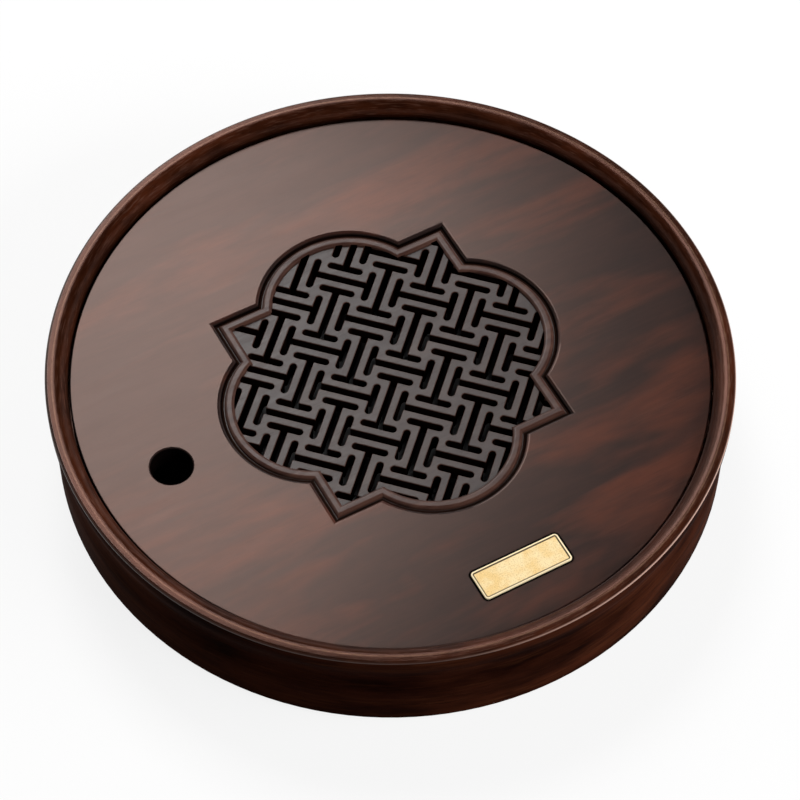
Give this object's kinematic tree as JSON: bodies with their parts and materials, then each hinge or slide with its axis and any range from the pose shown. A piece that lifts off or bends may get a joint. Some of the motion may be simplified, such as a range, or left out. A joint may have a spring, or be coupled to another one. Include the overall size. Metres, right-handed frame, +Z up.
{
  "type": "gongfu tea tray",
  "caption": "Round drum-shaped tea tray: a lift-out carved panel with a lattice drain and finger hole lies in a raised rim over a lift-out water liner.",
  "frame": {"origin": "middle of the underside, on the surface that the feet stand on", "axes": "+Z up; -Y is the front, where the plaque is; the finger hole is at -X; the wood grain of the panel runs along X"},
  "size_m": [0.3308, 0.3308, 0.06],
  "materials": {
    "rim_wood": "satin lacquer over dark red-brown wood, grain round the ring",
    "wall_wood": "satin lacquer over dark red-brown wood, level grain",
    "panel_wood": "satin lacquer over dark brown wood, straight grain",
    "grille_wood": "duller lacquer, straight grain",
    "hidden_wood": "plain oiled wood",
    "plaque_brass": "polished gilt brass",
    "liner_plastic": "satin black moulded plastic",
    "foot_rubber": "matt black rubber",
    "screw_steel": "zinc-plated steel"
  },
  "bodies": {
    "drum": {"rim_ring": "rim_wood", "drum_wall": "wall_wood", "base_board": "hidden_wood", "base_screws": "screw_steel", "foot_front_left": "foot_rubber", "foot_front_right": "foot_rubber", "foot_back_left": "foot_rubber", "foot_back_right": "foot_rubber", "foot_screws": "screw_steel"},
    "liner": {"water_liner": "liner_plastic"},
    "panel": {"top_panel": "panel_wood", "lattice_grille": "grille_wood", "plaque": "plaque_brass", "batten_left": "hidden_wood", "batten_right": "hidden_wood", "batten_screws": "screw_steel"}
  },
  "joints": [
    {"name": "liner_lift", "type": "slide", "parent": "drum", "child": "liner", "axis": [0, 0, 1], "range_m": [0, 0.06]},
    {"name": "panel_lift", "type": "slide", "parent": "liner", "child": "panel", "axis": [0, 0, 1], "range_m": [0, 0.06]}
  ]
}
